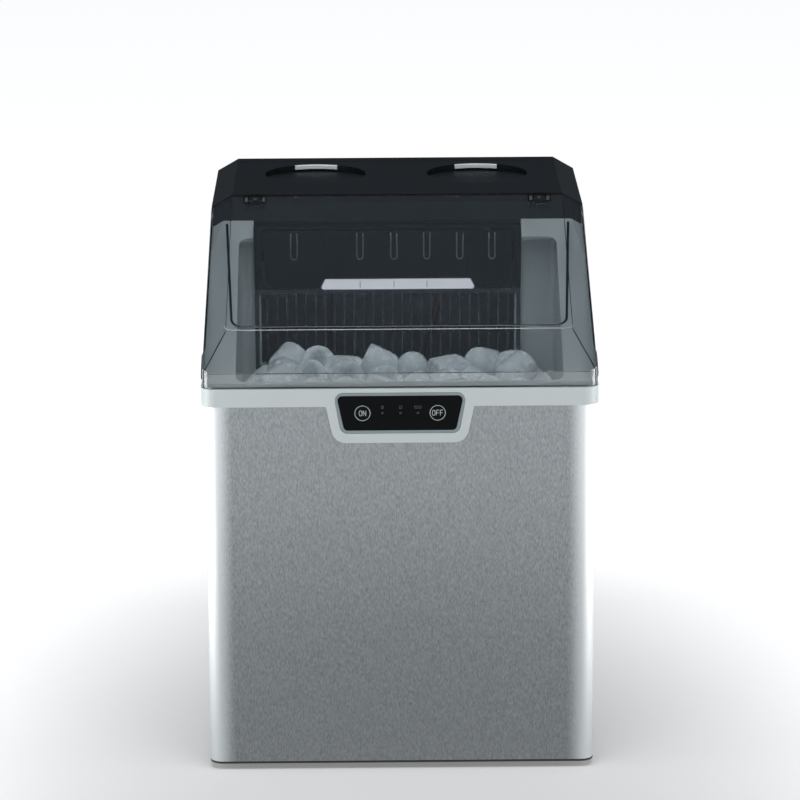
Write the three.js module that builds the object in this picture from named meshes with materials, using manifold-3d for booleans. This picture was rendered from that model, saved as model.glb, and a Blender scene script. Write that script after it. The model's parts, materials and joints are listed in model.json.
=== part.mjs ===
// A free-standing ice maker: steel-clad body, slanted clear lid over the ice bin, black rear top cover,
// and the works inside. Millimetres. X is across, with +X on the viewer's right, -Y is the front, +Z is up.
// The origin is on the floor under the middle of the object.
import * as THREE from "three";
import { mergeVertices } from "three/addons/utils/BufferGeometryUtils.js";
import Module from "manifold-3d";

const wasm = await Module();
wasm.setup();

// ---------------------------------------------------------------- driving dimensions

const GAP = 0.3; // clearance between neighbouring pieces
const WALL = 2.5; // wall of the plastic mouldings
const SHEET = 1; // thickness of the sheet-metal panels

const BODY = { halfWidth: 183, front: -205, back: 205, bottom: 8, top: 358, corner: 12 };
const BAND = { halfWidth: 186, front: -208, back: 206.5, bottom: 358, top: 375, corner: 14 };
const FOOT = { radius: 15, height: 5.7, inset: 42 };

const LID = {
  halfWidth: 184.5, // at the bottom of its skirt
  draft: THREE.MathUtils.degToRad(1.2),
  front: -205.5,
  bottom: 375.5,
  skirtTop: 390,
  creaseY: -166.2, // where the steep lower panel meets the shallow upper one
  creaseZ: 421.6,
  cornerHalfWidth: 162, // half the width of the upper panel at its top
  cornerRadius: 9,
  rear: 20.5,
  thickness: WALL,
};
const TOP = { z: 514, edgeZ: 502, front: 23, back: 208, flatHalfWidth: 161, bottom: 482 };
const HINGE = { y: 16, z: 508.5, x: 139, halfWidth: 6, radius: 3.9, pin: 1.5 };

// The lower edge of the lid's sides and the slanted rim round the bin opening, as lines z(y).
const lidEdge = (y) => LID.bottom + (y + 193) * 0.4977;
const rim = (y) => 376.5 + (y + 187) * 0.63;
const lidFace = (y) => LID.creaseZ + (y - LID.creaseY) * ((TOP.z - LID.creaseZ) / (TOP.front - LID.creaseY));
const LIP = { front: -3.3, drop: 9.5 }; // the cover's lip under the lid, and how far below the lid's face

const BIN = { halfWidth: 153.8, front: -187, back: -5, floor: 208, openingBack: -24.2, corner: 8 };
const CHAMBER = { left: -139.8, right: 119.9, front: -11, back: 118, bottom: 424.5, top: 487 };
const CHAMBER_WALL = 3;
const APRON = { halfTop: 69.8, halfBottom: 61.6, top: 360, bottom: 323, corner: 13 };
const PANEL = { halfTop: 59.6, halfBottom: 52.4, bottom: 334.9, top: 368.4, corner: 4.5, depth: 1.9 };
const BEZEL = 2.6; // width of the painted ring round the panel
const BUTTON = { x: 35.1, z: 351.6, radius: 7.7 };
const INDICATORS = { water: -16.5, ice: 0.4, full: 16.6 }; // the x of each lamp
const INDICATOR_RADIUS = 1.3;

// A round finger scoop in the cover: flush at its front, deep at its back, with a pale insert behind it.
const SCOOP = { x: 81, y: 124.5, radius: 50.5, depth: 7.5 };
const INSERT = { halfAngle: 25, depth: 3, height: 4.4, top: TOP.z - 0.6 };
const GRILLE = { bottom: 342, top: 424, pitch: 9.4, slot: 7.2, count: 27, thickness: 3 };
const FLAP = { left: -132, right: 112.1, taper: 3, bottom: 426, top: 483, ribWidth: 6.6, ribFoot: 454 };
const FLAP_RIBS = [-101, -36.8, -3.7, 28.4, 60.6, 91.8];
const TRAY = { axisY: 68, axisZ: 452, wall: 2 };
const EVAPORATOR = { y: 39, firstFinger: -102, pitch: 30.6, count: 7, pipeX: 60, pipeZ: 472 };
const PUSHER_TEETH = [-104, -64, -24, 16, 56, 84];

const LOUVRE = { columns: [-70, 95], halfWidth: 55, rows: 9, first: 90, pitch: 14, height: 5 };
const SCREWS = [[-174, 24], [174, 24], [-174, 340], [174, 340]]; // (x, z) on the rear panel
const DRAIN = { x: -140, z: 48, tankZ: 142 };
const INLET = { x: 140, z: 48 };
const TANK = { halfWidth: 150, front: -190, back: 8, bottom: 130, top: 188, corner: 10 };
const PUMP = { x: 110, y: -150 };
const FLOAT = { x: -110, y: -150 };
const COMPRESSOR = { x: -70, y: 95, radius: 56 };
const CONDENSER = { left: 20, right: 168, fins: 16, fin: 2.5, bottom: 24, top: 172 };
const FAN = { x: 95, z: 98, radius: 62, blades: 5 };
const PIPE = 3; // radius of the refrigerant pipes

// ---------------------------------------------------------------- shape helpers

function toSolid(geometry) {
  const plain = geometry.clone();
  plain.deleteAttribute("normal");
  plain.deleteAttribute("uv");
  const merged = mergeVertices(plain, 1e-4);
  const triVerts = new Uint32Array(merged.index.array);
  return new wasm.Manifold(
    new wasm.Mesh({ numProp: 3, vertProperties: merged.attributes.position.array, triVerts }),
  );
}

function toGeometry(solid) {
  const mesh = solid.getMesh();
  const geometry = new THREE.BufferGeometry();
  geometry.setAttribute("position", new THREE.BufferAttribute(new Float32Array(mesh.vertProperties), 3));
  geometry.setIndex(new THREE.BufferAttribute(new Uint32Array(mesh.triVerts), 1));
  geometry.computeVertexNormals();
  return geometry;
}

const join = (first, ...rest) => rest.reduce((whole, piece) => whole.add(piece), first);
const cut = (first, ...rest) => rest.reduce((whole, piece) => whole.subtract(piece), first);

// The two limits that lie evenly round a middle.
const around = (middle, half) => [middle - half, middle + half];

// A box between two limits on each axis.
function block([x0, x1], [y0, y1], [z0, z1]) {
  const geometry = new THREE.BoxGeometry(x1 - x0, y1 - y0, z1 - z0);
  geometry.translate((x0 + x1) / 2, (y0 + y1) / 2, (z0 + z1) / 2);
  return toSolid(geometry);
}

// An outline pushed along an axis. The outline's two numbers are (y, z) along x, (x, z) along y
// and (x, y) along z.
function prism(axis, outline, from, to) {
  const shape = new THREE.Shape(outline.map(([u, v]) => new THREE.Vector2(u, v)));
  const geometry = new THREE.ExtrudeGeometry(shape, { depth: to - from, bevelEnabled: false });
  const basis = new THREE.Matrix4();
  if (axis === "x") {
    basis.set(0, 0, 1, from, 1, 0, 0, 0, 0, 1, 0, 0, 0, 0, 0, 1);
  } else if (axis === "y") {
    basis.set(1, 0, 0, 0, 0, 0, -1, to, 0, 1, 0, 0, 0, 0, 0, 1);
  } else {
    basis.makeTranslation(0, 0, from);
  }
  return toSolid(geometry.applyMatrix4(basis));
}

// A round bar along an axis; its centre line passes through (u, v), in the order that prism uses.
function rod(axis, [u, v], radius, from, to, sides = 20) {
  const geometry = new THREE.CylinderGeometry(radius, radius, to - from, sides);
  const middle = (from + to) / 2;
  if (axis === "x") geometry.rotateZ(-Math.PI / 2).translate(middle, u, v);
  else if (axis === "y") geometry.translate(u, middle, v);
  else geometry.rotateX(Math.PI / 2).translate(u, v, middle);
  return toSolid(geometry);
}

// A turned piece on a vertical axis at (x, y); the profile is a list of (radius, z).
function turned([x, y], profile, sides = 24) {
  const geometry = new THREE.LatheGeometry(profile.map(([r, z]) => new THREE.Vector2(r, z)), sides);
  geometry.rotateX(Math.PI / 2).translate(x, y, 0);
  return toSolid(geometry);
}

// A tube of the given radius through a list of points.
function tube(points, radius, steps, sides = 8) {
  const path = new THREE.CatmullRomCurve3(points.map((p) => new THREE.Vector3(...p)));
  const section = new THREE.Shape(ring([0, 0], radius, sides).map(([u, v]) => new THREE.Vector2(u, v)));
  return toSolid(new THREE.ExtrudeGeometry(section, { steps, bevelEnabled: false, extrudePath: path }));
}

// The corners of a regular polygon round a centre.
function ring([u, v], radius, sides) {
  return Array.from({ length: sides }, (_, i) => {
    const angle = (i / sides) * 2 * Math.PI;
    return [u + radius * Math.cos(angle), v + radius * Math.sin(angle)];
  });
}

// An outline with its corners rounded. Radii is one number, or one for each corner.
function filleted(corners, radii, steps = 4) {
  const points = [];
  corners.forEach((corner, i) => {
    const radius = Array.isArray(radii) ? radii[i] : radii;
    const at = new THREE.Vector2(...corner);
    if (!radius) return points.push(corner);
    const before = new THREE.Vector2(...corners.at(i - 1)).sub(at).normalize();
    const after = new THREE.Vector2(...corners[(i + 1) % corners.length]).sub(at).normalize();
    const half = Math.acos(before.dot(after)) / 2;
    const inward = before.clone().add(after).normalize();
    const centre = at.clone().addScaledVector(inward, radius / Math.sin(half));
    const start = at.clone().add(before.clone().multiplyScalar(radius / Math.tan(half))).sub(centre);
    const end = at.clone().add(after.clone().multiplyScalar(radius / Math.tan(half))).sub(centre);
    const sweep = Math.atan2(start.cross(end), start.dot(end));
    for (let step = 0; step <= steps; step += 1) {
      const spoke = start.clone().rotateAround(new THREE.Vector2(), (sweep * step) / steps).add(centre);
      points.push([spoke.x, spoke.y]);
    }
  });
  return points;
}

const rectangle = ([u0, u1], [v0, v1]) => [[u0, v0], [u1, v0], [u1, v1], [u0, v1]];

// Everything on the outer side of a plane, moved inwards by an inset.
function outside(point, normal, inset) {
  const size = 1200;
  const direction = new THREE.Vector3(...normal).normalize();
  const geometry = new THREE.BoxGeometry(size, size, size).translate(0, 0, size / 2);
  geometry.applyQuaternion(new THREE.Quaternion().setFromUnitVectors(new THREE.Vector3(0, 0, 1), direction));
  const start = new THREE.Vector3(...point).addScaledVector(direction, -inset);
  return toSolid(geometry.translate(start.x, start.y, start.z));
}

// ---------------------------------------------------------------- the outer form of the lid and the hood

function planes() {
  const faceRun = [TOP.front - LID.creaseY, TOP.z - LID.creaseZ];
  const lowerRun = [LID.creaseY - LID.front, LID.creaseZ - LID.skirtTop];
  const list = [
    { point: [0, LID.creaseY, LID.creaseZ], normal: [0, -faceRun[1], faceRun[0]] },
    { point: [0, LID.creaseY, LID.creaseZ], normal: [0, -lowerRun[1], lowerRun[0]] },
    { point: [0, LID.front, LID.bottom], normal: [0, -1, 0] },
    { point: [0, 0, TOP.z], normal: [0, 0, 1] },
  ];
  const top = new THREE.Vector3(LID.cornerHalfWidth, TOP.front, TOP.z);
  const edge = new THREE.Vector3(sideAt(TOP.edgeZ), TOP.front, TOP.edgeZ);
  const corner = new THREE.Vector3(sideAt(LID.skirtTop), LID.front, LID.skirtTop);
  const bevel = edge.clone().sub(corner).cross(top.clone().sub(corner));
  for (const side of [-1, 1]) {
    list.push({
      point: [side * LID.halfWidth, 0, LID.bottom],
      normal: [side * Math.cos(LID.draft), 0, Math.sin(LID.draft)],
    });
    list.push({ point: [side * corner.x, corner.y, corner.z], normal: [side * bevel.x, bevel.y, bevel.z] });
    for (const degrees of [22.5, 45, 67.5]) {
      const angle = THREE.MathUtils.degToRad(degrees);
      const spoke = [side * Math.cos(angle), -Math.sin(angle)];
      const centre = [side * (LID.halfWidth - LID.cornerRadius), LID.front + LID.cornerRadius];
      list.push({
        point: [centre[0] + LID.cornerRadius * spoke[0], centre[1] + LID.cornerRadius * spoke[1], LID.bottom],
        normal: [spoke[0], spoke[1], Math.tan(LID.draft) * Math.cos(angle)],
      });
    }
  }
  return list;
}

// Half the width between the drafted sides at a height.
function sideAt(z) {
  return LID.halfWidth - (z - LID.bottom) * Math.tan(LID.draft);
}

// The hood's outer form, shrunk by an inset and cut off at a front, a back and a bottom.
function hood(inset, back, bottom) {
  const body = block([-220, 220], [LID.front - 20, back], [bottom, TOP.z + 20]);
  return planes().reduce((left, plane) => left.subtract(outside(plane.point, plane.normal, inset)), body);
}

// ---------------------------------------------------------------- sheet metal, base and feet

const plan = (half, front, back, radii) =>
  filleted([[-half, front], [half, front], [half, back], [-half, back]], radii);

function steelWrap() {
  const { halfWidth, front, back, bottom, top, corner } = BODY;
  const outer = prism("z", plan(halfWidth, front, back, [corner, corner, 0, 0]), bottom, top - GAP);
  const inside = corner - SHEET;
  const inner = prism("z", plan(halfWidth - SHEET, front + SHEET, back + 9, [inside, inside, 0, 0]), 0, 400);
  return cut(outer, inner, block([-57, 57], [front - 5, front + 5], [331, 400]));
}

// The rear panel has two columns of louvres, and a folded top edge that stands up inside the white frame.
function rearPanel() {
  const [y0, y1] = [BODY.back - SHEET, BODY.back];
  const sheet = block([-181.6, 181.6], [y0, y1], [10, BODY.top - SHEET]);
  const shelf = block([-170, 170], [y0 - 2.2, y1], [350, 356]);
  const fold = block([-170, 170], [y0 - 2.2, y0 - 1], [350, 368]);
  let panel = join(sheet, shelf, fold);
  for (const x of LOUVRE.columns)
    for (let row = 0; row < LOUVRE.rows; row += 1) {
      const z = LOUVRE.first + row * LOUVRE.pitch;
      panel = panel.subtract(block(around(x, LOUVRE.halfWidth), [y0 - 2, y1 + 2], [z, z + LOUVRE.height]));
    }
  const holes = [
    rod("y", [DRAIN.x, DRAIN.z], 16, y0 - 2, y1 + 2, 16),
    block(around(INLET.x, 14.5), [y0 - 2, y1 + 2], around(INLET.z, 12)),
    ...SCREWS.map(([x, z]) => rod("y", [x, z], 2.2, y0 - 2, y1 + 2, 8)),
  ];
  return cut(panel, ...holes);
}

function rearScrew([x, z]) {
  const head = rod("y", [x, z], 3.6, BODY.back + GAP, BODY.back + 2.2, 12);
  return head.add(rod("y", [x, z], 1.8, BODY.back - 8, BODY.back + 1, 8));
}

function basePan() {
  const rounded = (half, front, back, r) => plan(half, front, back, [r, r, 0, 0]);
  const lip = prism("z", rounded(183, -205, 203.4, 12), 6, 7.7);
  const tray = prism("z", rounded(181.5, -203.5, 203.4, 10.5), 7, 20);
  const inner = prism("z", rounded(179, -201, 201, 8), 9.5, 30);
  return cut(join(lip, tray), inner, ...footPlaces().map((at) => rod("z", at, 5.3, 0, 12, 12)));
}

function footPlaces() {
  const x = BODY.halfWidth - FOOT.inset;
  return [[-x, BODY.front + FOOT.inset], [x, BODY.front + FOOT.inset], [-x, 163], [x, 163]];
}

function foot(at) {
  const { radius, height } = FOOT;
  const pad = [[0, 0], [radius - 2, 0], [radius, 2], [radius - 2, height]];
  const stud = [[5, height], [5, 9], [0, 9]];
  return turned(at, [...pad, ...stud], 20);
}

// ---------------------------------------------------------------- the white frame

const side = (outline) => prism("x", outline, -220, 220);

function topFrame() {
  const { halfWidth, front, back, bottom, top, corner } = BAND;
  const band = prism("z", plan(halfWidth, front, back, [corner, corner, 6, 6]), bottom, top);
  const cheeks = hood(0, 204, 374).intersect(
    side([[-220, 370], [-198, 372], [20, lidEdge(20) - 1.2], [210, lidEdge(20) - 1.2], [210, 370]]),
  );
  const slant = hood(3.9, LIP.front, 374).intersect(
    side([[-220, 370], [-200, rim(-187)], [-187, rim(-187)], [LIP.front, rim(LIP.front)], [LIP.front, 370]]),
  );
  const belowBand = prism("z", plan(183, -205, 203.5, [11, 11, 0, 0]), 350, top - 3);
  const belowCheeks = hood(3, 201, 371).intersect(
    side([[-220, 360], [-190, 371], [20, lidEdge(20) - 4], [20, 600], [220, 600], [220, 360]]),
  );
  const slantUnderside = [
    [-186, 360], [-184, rim(-187) - 3], [LIP.front, rim(LIP.front) - 3],
    [LIP.front, 600], [210, 600], [210, 360],
  ];
  const belowSlant = hood(6.6, 201, 371).intersect(side(slantUnderside));
  const { halfWidth: opening, openingBack } = BIN;
  const mouth = prism("z", plan(opening, BIN.front, openingBack, BIN.corner), 340, 600);
  const chamberMouth = block([CHAMBER.left - GAP, CHAMBER.right + GAP], [openingBack - 9, 40], [376, 600]);
  const open = cut(join(band, cheeks, slant), belowBand, belowCheeks, belowSlant, mouth, chamberMouth);
  return cut(join(open, apron()), controlPocket());
}

// The apron hangs from the band over the steel front and carries the controls in a pocket.
function apron() {
  const { halfTop, halfBottom, top, bottom, corner } = APRON;
  const corners = [[-halfTop, top], [-halfBottom, bottom], [halfBottom, bottom], [halfTop, top]];
  const plate = prism("y", filleted(corners, [0, corner, corner, 0]), BAND.front, BODY.front - GAP);
  const housing = block([-55, 55], [BODY.front - 1, -191], [333, 374]);
  return join(plate, housing);
}

// The control panel's outline, a trapezoid, grown by a distance on every side.
function panelOutline(grow) {
  const { halfTop, halfBottom, bottom, top, corner } = PANEL;
  const corners = [
    [-halfTop - grow, top + grow], [-halfBottom - grow, bottom - grow],
    [halfBottom + grow, bottom - grow], [halfTop + grow, top + grow],
  ];
  return filleted(corners, corner + grow);
}

function controlPocket() {
  const face = prism("y", panelOutline(BEZEL + GAP), BAND.front - 2, BAND.front + PANEL.depth + GAP);
  const well = block([-52, 52], [BAND.front, -193.5], [337, 366]);
  return join(face, well);
}

function controlBezel() {
  const outer = prism("y", panelOutline(BEZEL), BAND.front, BAND.front + PANEL.depth);
  return cut(outer, prism("y", panelOutline(0), BAND.front - 2, BAND.front + 5));
}

function controlPanel() {
  const plate = prism("y", panelOutline(-GAP), BAND.front + 0.2, BAND.front + PANEL.depth);
  const holes = [-1, 1].map((s) => rod("y", [s * BUTTON.x, BUTTON.z], BUTTON.radius + GAP, -215, -200, 28));
  for (const x of Object.values(INDICATORS))
    holes.push(rod("y", [x, BUTTON.z], INDICATOR_RADIUS + 0.25, -215, -200, 10));
  return cut(plate, ...holes);
}

function button(s) {
  const at = [s * BUTTON.x, BUTTON.z];
  return join(
    rod("y", at, BUTTON.radius, BAND.front + 0.2, BAND.front + 2, 28),
    rod("y", at, 2, BAND.front + 1, -202, 10),
  );
}

const indicator = (x) => rod("y", [x, BUTTON.z], INDICATOR_RADIUS, BAND.front + 0.2, -200.5, 10);

function controlBoard() {
  const board = block([-50, 50], [-196, -194.4], [339, 364]);
  const switches = [-1, 1].map((s) => block(around(s * BUTTON.x, 3), [-200, -195], around(BUTTON.z, 3)));
  const lamps = Object.values(INDICATORS).map((x) => block(around(x, 2), [-198, -195], around(BUTTON.z, 2)));
  return join(board, ...switches, ...lamps);
}

// ---------------------------------------------------------------- the clear lid and the black top cover

function frontLid() {
  const { rear, thickness, bottom } = LID;
  const shell = hood(0, rear, bottom).subtract(hood(thickness, rear + 5, bottom - 5));
  const under = side([[-193, bottom - 9], [-193, bottom], [60, lidEdge(60)], [60, bottom - 9]]);
  const notches = [-1, 1].map((s) => block(around(s * HINGE.x, 11), [HINGE.y - 6, 40], [480, 540]));
  let lid = cut(shell, under, ...notches);
  for (const s of [-1, 1]) {
    const x = around(s * HINGE.x, HINGE.halfWidth);
    const neck = prism("x", [[5, 504.6], [HINGE.y, 505.5], [HINGE.y, 511.6], [5, 505.5]], x[0], x[1]);
    const barrel = rod("x", [HINGE.y, HINGE.z], HINGE.radius, x[0], x[1], 16);
    const bore = rod("x", [HINGE.y, HINGE.z], HINGE.pin + GAP, x[0] - 2, x[1] + 2, 12);
    lid = cut(join(lid, neck, barrel), bore);
    lid = lid.add(gripTab(s));
  }
  return lid;
}

// A small raised grip low on each side of the lid.
function gripTab(s) {
  const outline = [[-188, 380.5], [-160, 393.5], [-160, 399], [-188, 386]];
  const depth = 2.2;
  const from = s > 0 ? sideAt(400) - 1 : -sideAt(400) - depth;
  return prism("x", outline, from, from + depth + 1);
}

function topCover() {
  const { z, front, back, flatHalfWidth, edgeZ, bottom } = TOP;
  const slope = [z - edgeZ, sideAt(edgeZ) - flatHalfWidth];
  const form = (inset, y0, y1, z0) => {
    let body = block([-220, 220], [y0, y1], [z0, z - inset]);
    for (const s of [-1, 1]) {
      body = body.subtract(outside([s * flatHalfWidth, 0, z], [s * slope[0], 0, slope[1]], inset));
      body = body.subtract(outside([s * LID.halfWidth, 0, LID.bottom], sideNormal(s), inset));
    }
    return body;
  };
  const shell = form(0, front, back, bottom).subtract(form(WALL, front + WALL, back - WALL, bottom - 5));
  const lipTop = (y) => lidFace(y) - LIP.drop;
  const under = (drop) => side([
    [-60, 440], [-60, lipTop(-60) - drop], [front + 2, lipTop(front + 2) - drop], [front + 2, 440],
  ]);
  const lipOuter = hood(3.9, front + 1, bottom).intersect(under(0)).intersect(
    block([-220, 220], [LIP.front + GAP, front + 1], [bottom, 530]),
  );
  const lipInner = hood(6.4, front + 5, bottom - 5).intersect(under(2.8));
  const bosses = [-1, 1].map((s) => rod("z", [s * SCOOP.x, SCOOP.y], SCOOP.radius + 4.5, 503.5, z - 1, 48));
  const scoops = [-1, 1].map((s) => scoop(s));
  const groove = block([-200, 200], [188.8, 190], [z - 0.8, z + 1]);
  const ears = [-1, 1].flatMap((s) => [-1, 1].map((e) => hingeEar(s * HINGE.x + e * 8.4)));
  const behindLip = block([-174, 174], [front - 1, front + WALL + 1], [bottom - 1, lipTop(front) - 3]);
  const body = join(shell.subtract(behindLip), lipOuter.subtract(lipInner), ...bosses);
  return join(cut(body, ...scoops, groove), ...ears);
}

const sideNormal = (s) => [s * Math.cos(LID.draft), 0, Math.sin(LID.draft)];

// The bowl of a finger scoop, with the pocket for its insert.
function scoop(s) {
  const { x, y, radius, depth } = SCOOP;
  const deep = y + radius + 1;
  const wedge = side([[y - radius, TOP.z + 0.01], [deep, TOP.z - depth], [deep, 530], [y - radius, 530]]);
  const bowl = rod("z", [s * x, y], radius, 500, 525, 48).intersect(wedge);
  return join(bowl, insertForm(s, GAP, radius - 2, INSERT.top - INSERT.height - GAP, 530));
}

// A slice of ring behind the scoop's back wall.
function insertForm(s, grow, innerRadius, z0, z1) {
  const { x, y, radius } = SCOOP;
  const points = [];
  const steps = 8;
  const sweep = THREE.MathUtils.degToRad(INSERT.halfAngle) + grow / radius;
  for (const [r, direction] of [[radius + INSERT.depth + grow, 1], [innerRadius, -1]])
    for (let i = 0; i <= steps; i += 1) {
      const angle = Math.PI / 2 - direction * sweep + (direction * 2 * sweep * i) / steps;
      points.push([s * x + r * Math.cos(angle), y + r * Math.sin(angle)]);
    }
  return prism("z", points, z0, z1);
}

const coverInsert = (s) => insertForm(s, 0, SCOOP.radius - 0.8, INSERT.top - INSERT.height, INSERT.top);

// A web on the cover's front wall that carries one end of a hinge pin.
function hingeEar(x) {
  const { y, z, radius, pin } = HINGE;
  const crown = z + radius - GAP;
  const outline = [[y - 3.5, 498], [y + 9, 498], [y + 9, crown], [y - 0.5, crown], [y - 3.5, z]];
  const web = prism("x", outline, x - 1.5, x + 1.5);
  return web.subtract(rod("x", [y, z], pin + 0.1, x - 3, x + 3, 12));
}

const hingePin = (s) => rod("x", [HINGE.y, HINGE.z], HINGE.pin, s * HINGE.x - 10, s * HINGE.x + 10, 12);

// ---------------------------------------------------------------- the ice bin

function binLiner() {
  const { halfWidth, front, back, floor } = BIN;
  const outer = prism("z", plan(halfWidth + WALL, front - WALL, back + WALL, 10.5), floor - WALL, 520);
  const inner = prism("z", plan(halfWidth, front, back, BIN.corner), floor, 530);
  const brim = rim(-3) - 3.6;
  const above = side([[-200, 372 - GAP], [-184, 372 - GAP], [-3, brim], [20, brim], [20, 560], [-200, 560]]);
  const { left, right, bottom } = CHAMBER;
  const window = block([left - GAP, right + GAP], [back - 4, back + 8], [bottom - 1, 530]);
  const grilleWindow = block([left + 6, right - 6], [back - 4, back + 8], [349, 440]);
  const drain = rod("z", [0, -40], 7, floor - 9, floor + 9, 12);
  return cut(outer, inner, above, window, grilleWindow, drain);
}

function binGrille() {
  const { bottom, top, pitch, slot, count, thickness } = GRILLE;
  const back = BIN.back - GAP;
  const plate = block([CHAMBER.left, CHAMBER.right], [back - thickness, back], [bottom, top]);
  const middle = (CHAMBER.left + CHAMBER.right) / 2;
  const slots = Array.from({ length: count }, (_, i) => {
    const x = middle + (i - (count - 1) / 2) * pitch;
    return block(around(x, slot / 2), [-20, 0], [bottom + 5, top - 4]);
  });
  return cut(plate, ...slots);
}

function binFoam() {
  const outer = block([-171.5, 171.5], [-203, 12], [192, 330]);
  const cavity = block([-156.7, 156.7], [-190, -2.1], [205, 340]);
  return cut(outer, cavity, rod("z", [0, -40], 8, 180, 215, 12), ...foamCorners());
}

// The foam clears the rounded inside corners of the steel.
function foamCorners() {
  return [-1, 1].map((s) => block(around(s * 176, 8), [-210, -196], [180, 340]));
}

function guideBar() {
  const corners = [[-76, 424.4], [76, 424.4], [70.4, 434.4], [-70.4, 434.4]];
  return prism("y", filleted(corners, [2, 2, 1, 1], 2), -10.6, -5.3);
}

// ---------------------------------------------------------------- the ice chamber

function chamberHousing() {
  const { left, right, front, back, bottom, top } = CHAMBER;
  const wall = CHAMBER_WALL;
  const outer = block([left, right], [front, back], [bottom, top]);
  const inner = block([left + wall, right - wall], [front + wall, back - wall], [bottom - 2, top - wall]);
  const doorway = block([left + 7, right - 7], [front - 2, front + 5], [bottom - 2, top - 2.5]);
  return cut(outer, inner, doorway, ...chamberHoles());
}

function chamberHoles() {
  const { right, back } = CHAMBER;
  return [
    rod("x", [TRAY.axisY, TRAY.axisZ], 3.4, right - 9, right + 9, 12),
    ...[-1, 1].map((s) => rod("y", [s * EVAPORATOR.pipeX, EVAPORATOR.pipeZ], 4.6, back - 9, back + 9, 12)),
  ];
}

function iceFlap() {
  const { left, right, taper, bottom, top, ribWidth, ribFoot } = FLAP;
  const corners = [[left, top], [left + taper, bottom], [right - taper, bottom], [right, top]];
  let flap = prism("y", filleted(corners, [0, 10, 10, 0]), -11, -8.5);
  const dip = prism("y", [[-78, 500], [-66, 436.5], [66, 436.5], [72, 500]], -11.6, -10.2);
  const notchHalf = [[77.5, 420], [77.5, 424.3], [71.2, 435]];
  const notch = [...notchHalf.map(([x, z]) => [-x, z]), ...notchHalf.toReversed()];
  flap = cut(flap, dip, prism("y", notch, -20, 0));
  const ribs = FLAP_RIBS.map((x, i) => {
    const outline = filleted(rectangle(around(x, ribWidth / 2), [ribFoot, 482]), 3, 3);
    const atEdge = i === 0 || i === FLAP_RIBS.length - 1;
    return prism("y", outline, atEdge ? -11.8 : -11, -9);
  });
  return join(flap, ...ribs);
}

// A row of freezing fingers under a hollow bar; ice bullets form on the fingers.
function evaporator() {
  const { y, firstFinger, pitch, count, pipeX, pipeZ } = EVAPORATOR;
  const bar = block([firstFinger - 10, firstFinger + pitch * (count - 1) + 10], around(y, 7), [466, 476]);
  const fingers = Array.from({ length: count }, (_, i) =>
    turned([firstFinger + i * pitch, y], [[0, 436], [3, 436], [5, 439], [5, 468], [0, 468]], 10));
  const stubs = [-pipeX, pipeX].map((x) => rod("y", [x, pipeZ], PIPE, y + 5, 112, 8));
  return join(bar, ...fingers, ...stubs);
}

function waterTray() {
  const { axisY, axisZ, wall } = TRAY;
  const outer = block([-120, 97], [14, 64], [427, axisZ]);
  const inner = block([-120 + wall, 97 - wall], [14 + wall, 64 - wall], [427 + wall, 460]);
  const pivots = [[-124, -116], [95, 101]].map(([x0, x1]) => rod("x", [axisY, axisZ], 2.6, x0, x1, 10));
  const cheeks = [[-120, -118], [95, 97]].map(([x0, x1]) =>
    prism("x", [[60, 440], [70, 446], [71.5, 454], [62, 456], [55, 452]], x0, x1));
  return join(cut(outer, inner), ...pivots, ...cheeks);
}

function trayMotor() {
  const body = block([123.5, 149], [52, 84], [436, 468]);
  const shaft = rod("x", [TRAY.axisY, TRAY.axisZ], 2.6, 101.4, 125, 10);
  return join(body, shaft);
}

function iceShovel() {
  const blade = block([-110, 88], [92, 94.5], [456.5, 467.5]);
  const teeth = PUSHER_TEETH.map((x) => block(around(x, 1.5), [94, 106], [457.5, 464]));
  return join(blade, ...teeth);
}

// ---------------------------------------------------------------- water

function waterTank() {
  const { halfWidth, front, back, bottom, top, corner } = TANK;
  const outer = prism("z", plan(halfWidth, front, back, corner), bottom, top);
  const inside = plan(halfWidth - WALL, front + WALL, back - WALL, corner - 2);
  const inner = prism("z", inside, bottom + WALL, top + 12);
  const outlet = rod("y", [DRAIN.x, DRAIN.tankZ], 5, 0, 14, 12);
  const bore = rod("y", [DRAIN.x, DRAIN.tankZ], 3, -5, 20, 12);
  const hoseNotch = block([140, 155], [-30, 10], [177, 190]);
  return cut(join(cut(outer, inner), outlet), bore, hoseNotch);
}

const drainHose = () =>
  tube(
    [
      [DRAIN.x, 14.4, DRAIN.tankZ], [DRAIN.x, 24, DRAIN.tankZ], [DRAIN.x, 66, 126], [DRAIN.x, 118, 72],
      [DRAIN.x, 160, DRAIN.z], [DRAIN.x, 178, DRAIN.z],
    ],
    5,
    16,
  );

function drainSpout() {
  const collar = rod("y", [DRAIN.x, DRAIN.z], 15.5, 201.6, 203.8, 16);
  const spout = rod("y", [DRAIN.x, DRAIN.z], 8, 178.4, 202, 16);
  return cut(join(collar, spout), rod("y", [DRAIN.x, DRAIN.z], 6, 186, 215, 16));
}

function drainCap() {
  const plug = rod("y", [DRAIN.x, DRAIN.z], 5.6, 190, 205, 16);
  return join(plug, rod("y", [DRAIN.x, DRAIN.z], 12, 204.2, 207.6, 16));
}

const waterPump = () =>
  join(
    rod("z", [PUMP.x, PUMP.y], 20, 133, 158, 16),
    block(around(PUMP.x, 14), around(PUMP.y, 14), [156, 170]),
    rod("z", [PUMP.x, PUMP.y], 4, 168, 176, 8),
  );

const fillTube = () =>
  tube(
    [
      [PUMP.x, PUMP.y, 176.4], [PUMP.x, PUMP.y, 180], [118, -125, 183.5], [148, -14, 183], [166, 10, 184],
      [175, 24, 205], [175, 28, 330], [168, 70, 430], [142, 106, 460], [120.4, 106, 462],
    ],
    4,
    30,
  );

function floatStem() {
  const at = [FLOAT.x, FLOAT.y];
  return join(rod("z", at, 3, 132.8, 176, 10), rod("z", at, 9, 174, 177, 12));
}

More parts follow.
